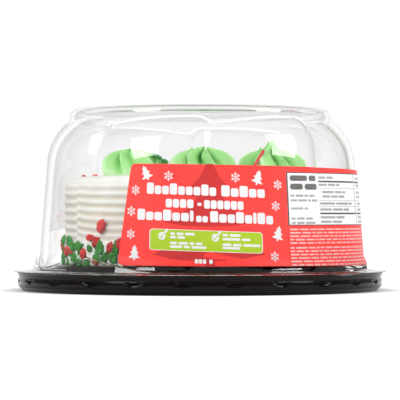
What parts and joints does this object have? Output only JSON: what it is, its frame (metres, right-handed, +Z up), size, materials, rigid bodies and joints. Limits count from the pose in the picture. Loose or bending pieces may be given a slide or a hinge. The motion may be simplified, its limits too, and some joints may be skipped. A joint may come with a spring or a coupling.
{
  "type": "frosted cake in a clear domed pack",
  "caption": "Round frosted cake with combed sides, holly sprinkles and green piped rosettes, shut in a black tray and clear lobed dome with a wrap-round label.",
  "frame": {"origin": "middle of the pack's underside, on the surface it stands on", "axes": "+Z up, -Y towards the label's front, +X to the right of a person facing the label"},
  "size_m": [0.2006, 0.2006, 0.0966],
  "materials": {
    "tray_plastic": "glossy black formed sheet",
    "clear_plastic": "clear glossy formed sheet",
    "label_film": "smooth coated label",
    "white_icing": "soft matte icing",
    "green_icing": "smooth piped icing",
    "green_sprinkle": "dull pressed sugar",
    "red_sprinkle": "dull pressed sugar"
  },
  "bodies": {
    "root": {"tray": "tray_plastic", "dome": "clear_plastic", "dome_flange": "clear_plastic", "label": "label_film", "cake": "white_icing", "rosette_front": "green_icing", "rosette_front_right": "green_icing", "rosette_back_right": "green_icing", "rosette_back": "green_icing", "rosette_back_left": "green_icing", "rosette_front_left": "green_icing"}
  },
  "joints": []
}
